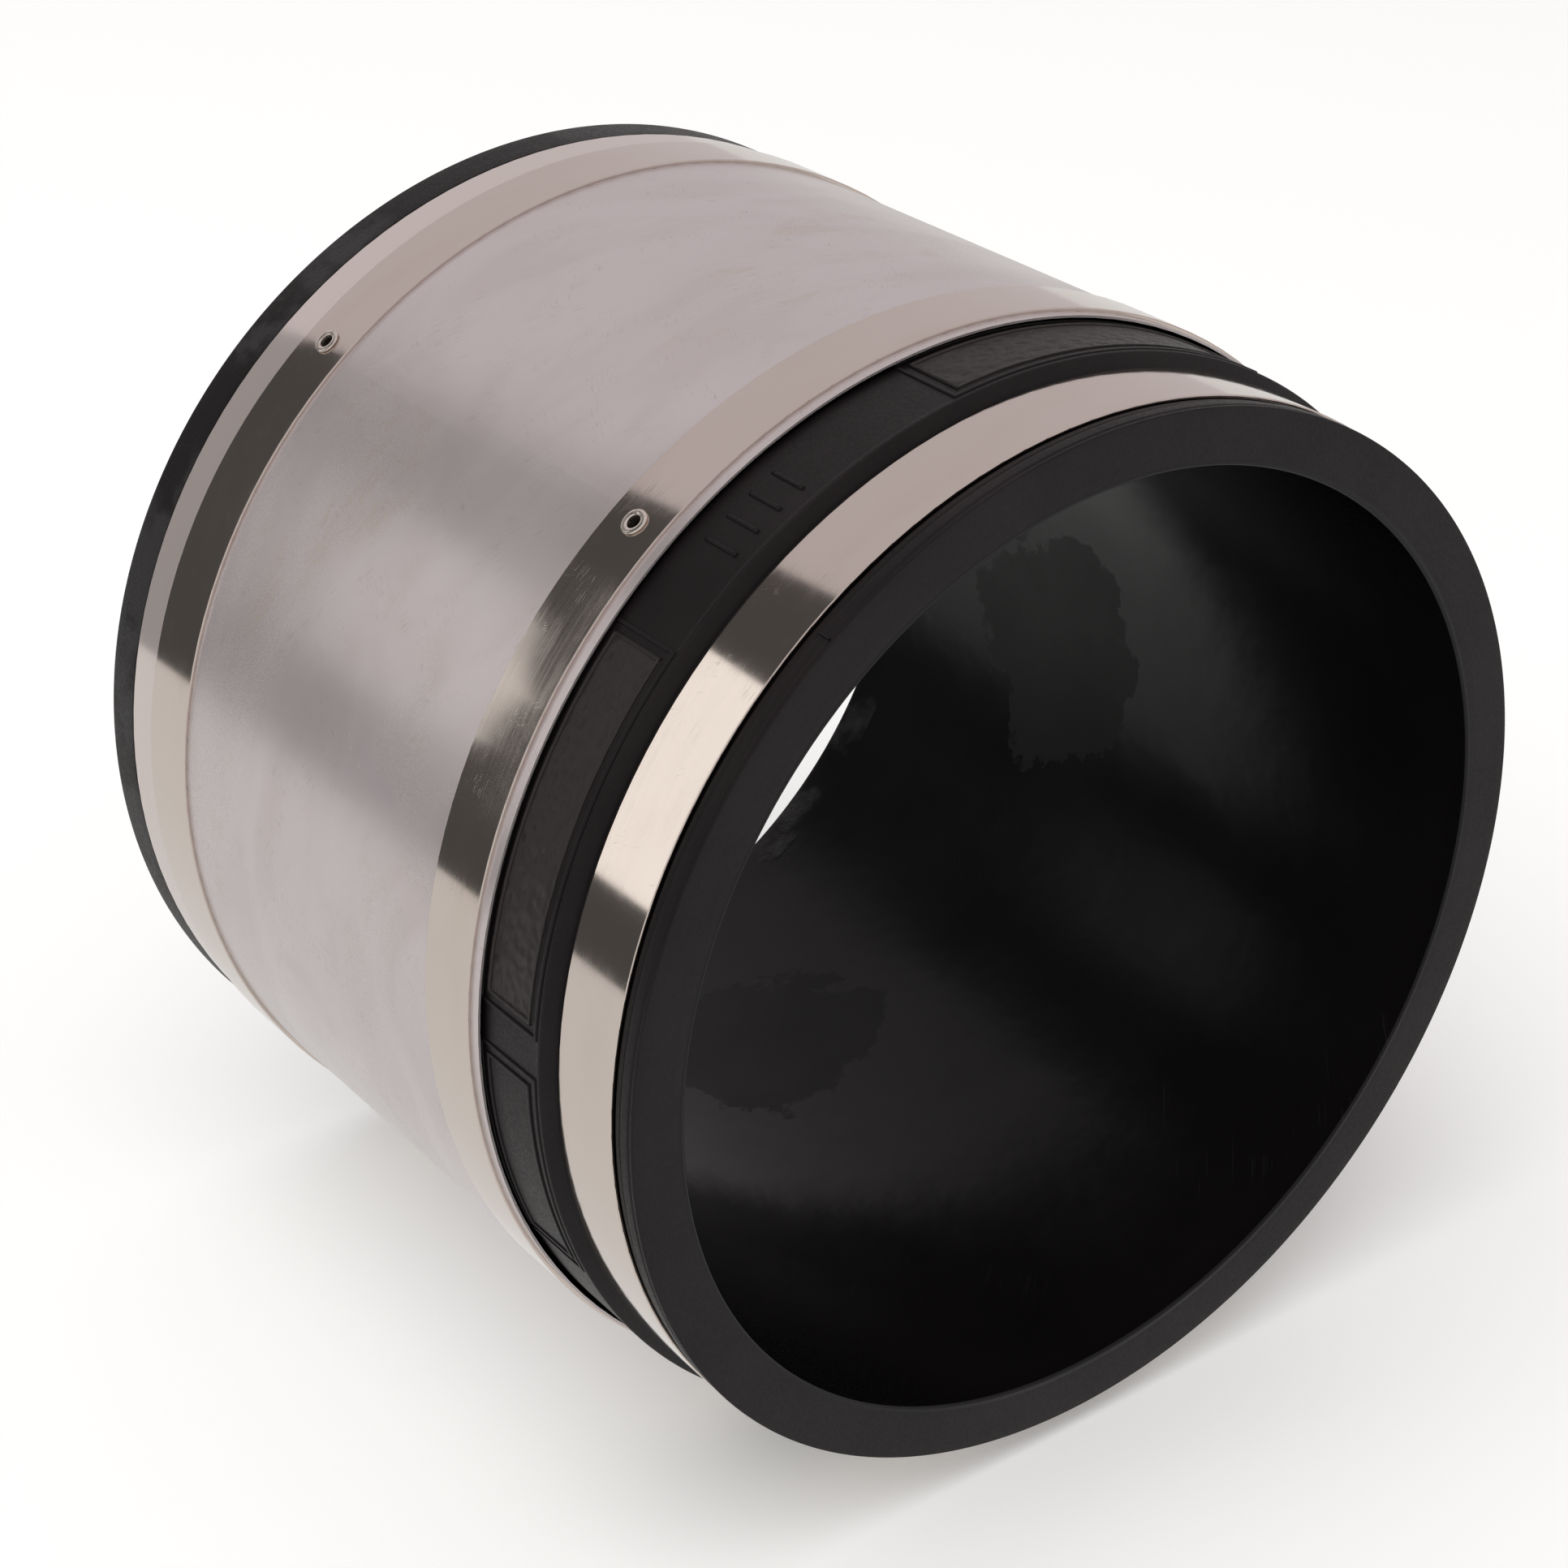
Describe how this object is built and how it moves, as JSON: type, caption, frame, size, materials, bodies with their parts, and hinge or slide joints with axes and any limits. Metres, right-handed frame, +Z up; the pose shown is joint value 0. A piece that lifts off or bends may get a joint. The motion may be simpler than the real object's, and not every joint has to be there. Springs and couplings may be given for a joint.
{
  "type": "shielded pipe repair coupling",
  "caption": "Elastomer sleeve with a stainless shear ring and worm-drive bands, clamped round the outside of two pipe ends to repair or join them.",
  "frame": {"origin": "on the axis of the pipe bore, half-way along the sleeve", "axes": "+X along the pipe axis towards the narrower end, which has its own clamp; +Z up with the sleeve lying on its side"},
  "size_m": [0.1616, 0.1958, 0.1958],
  "materials": {
    "elastomer": "matte moulded black elastomer",
    "satin_sheet": "satin rolled stainless sheet",
    "polished_strip": "polished stainless strip",
    "plated_screw": "plated steel",
    "eyelet_metal": "bright rolled eyelet"
  },
  "bodies": {
    "sleeve": {"rubber_sleeve": "elastomer"},
    "near_end_clamp": {"near_end_band": "polished_strip", "near_end_saddle": "polished_strip", "near_end_housing": "polished_strip"},
    "near_end_worm": {"near_end_screw": "plated_screw"},
    "ring_assembly": {"shear_ring": "satin_sheet", "near_ring_band": "polished_strip", "near_ring_saddle": "polished_strip", "near_ring_housing": "polished_strip", "near_ring_eyelet": "eyelet_metal", "far_ring_band": "polished_strip", "far_ring_saddle": "polished_strip", "far_ring_housing": "polished_strip", "far_ring_eyelet": "eyelet_metal"},
    "near_ring_worm": {"near_ring_screw": "plated_screw"},
    "far_ring_worm": {"far_ring_screw": "plated_screw"}
  },
  "joints": [
    {"name": "near_end_clamp_turn", "type": "hinge", "parent": "sleeve", "child": "near_end_clamp", "pos_m": [0.0685, 0, 0], "axis": [1, 0, 0], "continuous": true},
    {"name": "ring_slide", "type": "slide", "parent": "sleeve", "child": "ring_assembly", "axis": [1, 0, 0], "range_m": [0, 0.0165]},
    {"name": "near_end_screw_turn", "type": "hinge", "parent": "near_end_clamp", "child": "near_end_worm", "pos_m": [0.0685, 0.06054, -0.07833], "axis": [0, -0.7912, -0.6115], "continuous": true},
    {"name": "near_ring_screw_turn", "type": "hinge", "parent": "ring_assembly", "child": "near_ring_worm", "pos_m": [0.03505, 0.0628, -0.08126], "axis": [0, -0.7912, -0.6115], "continuous": true},
    {"name": "far_ring_screw_turn", "type": "hinge", "parent": "ring_assembly", "child": "far_ring_worm", "pos_m": [-0.05815, 0.0628, -0.08126], "axis": [0, -0.7912, -0.6115], "continuous": true}
  ]
}
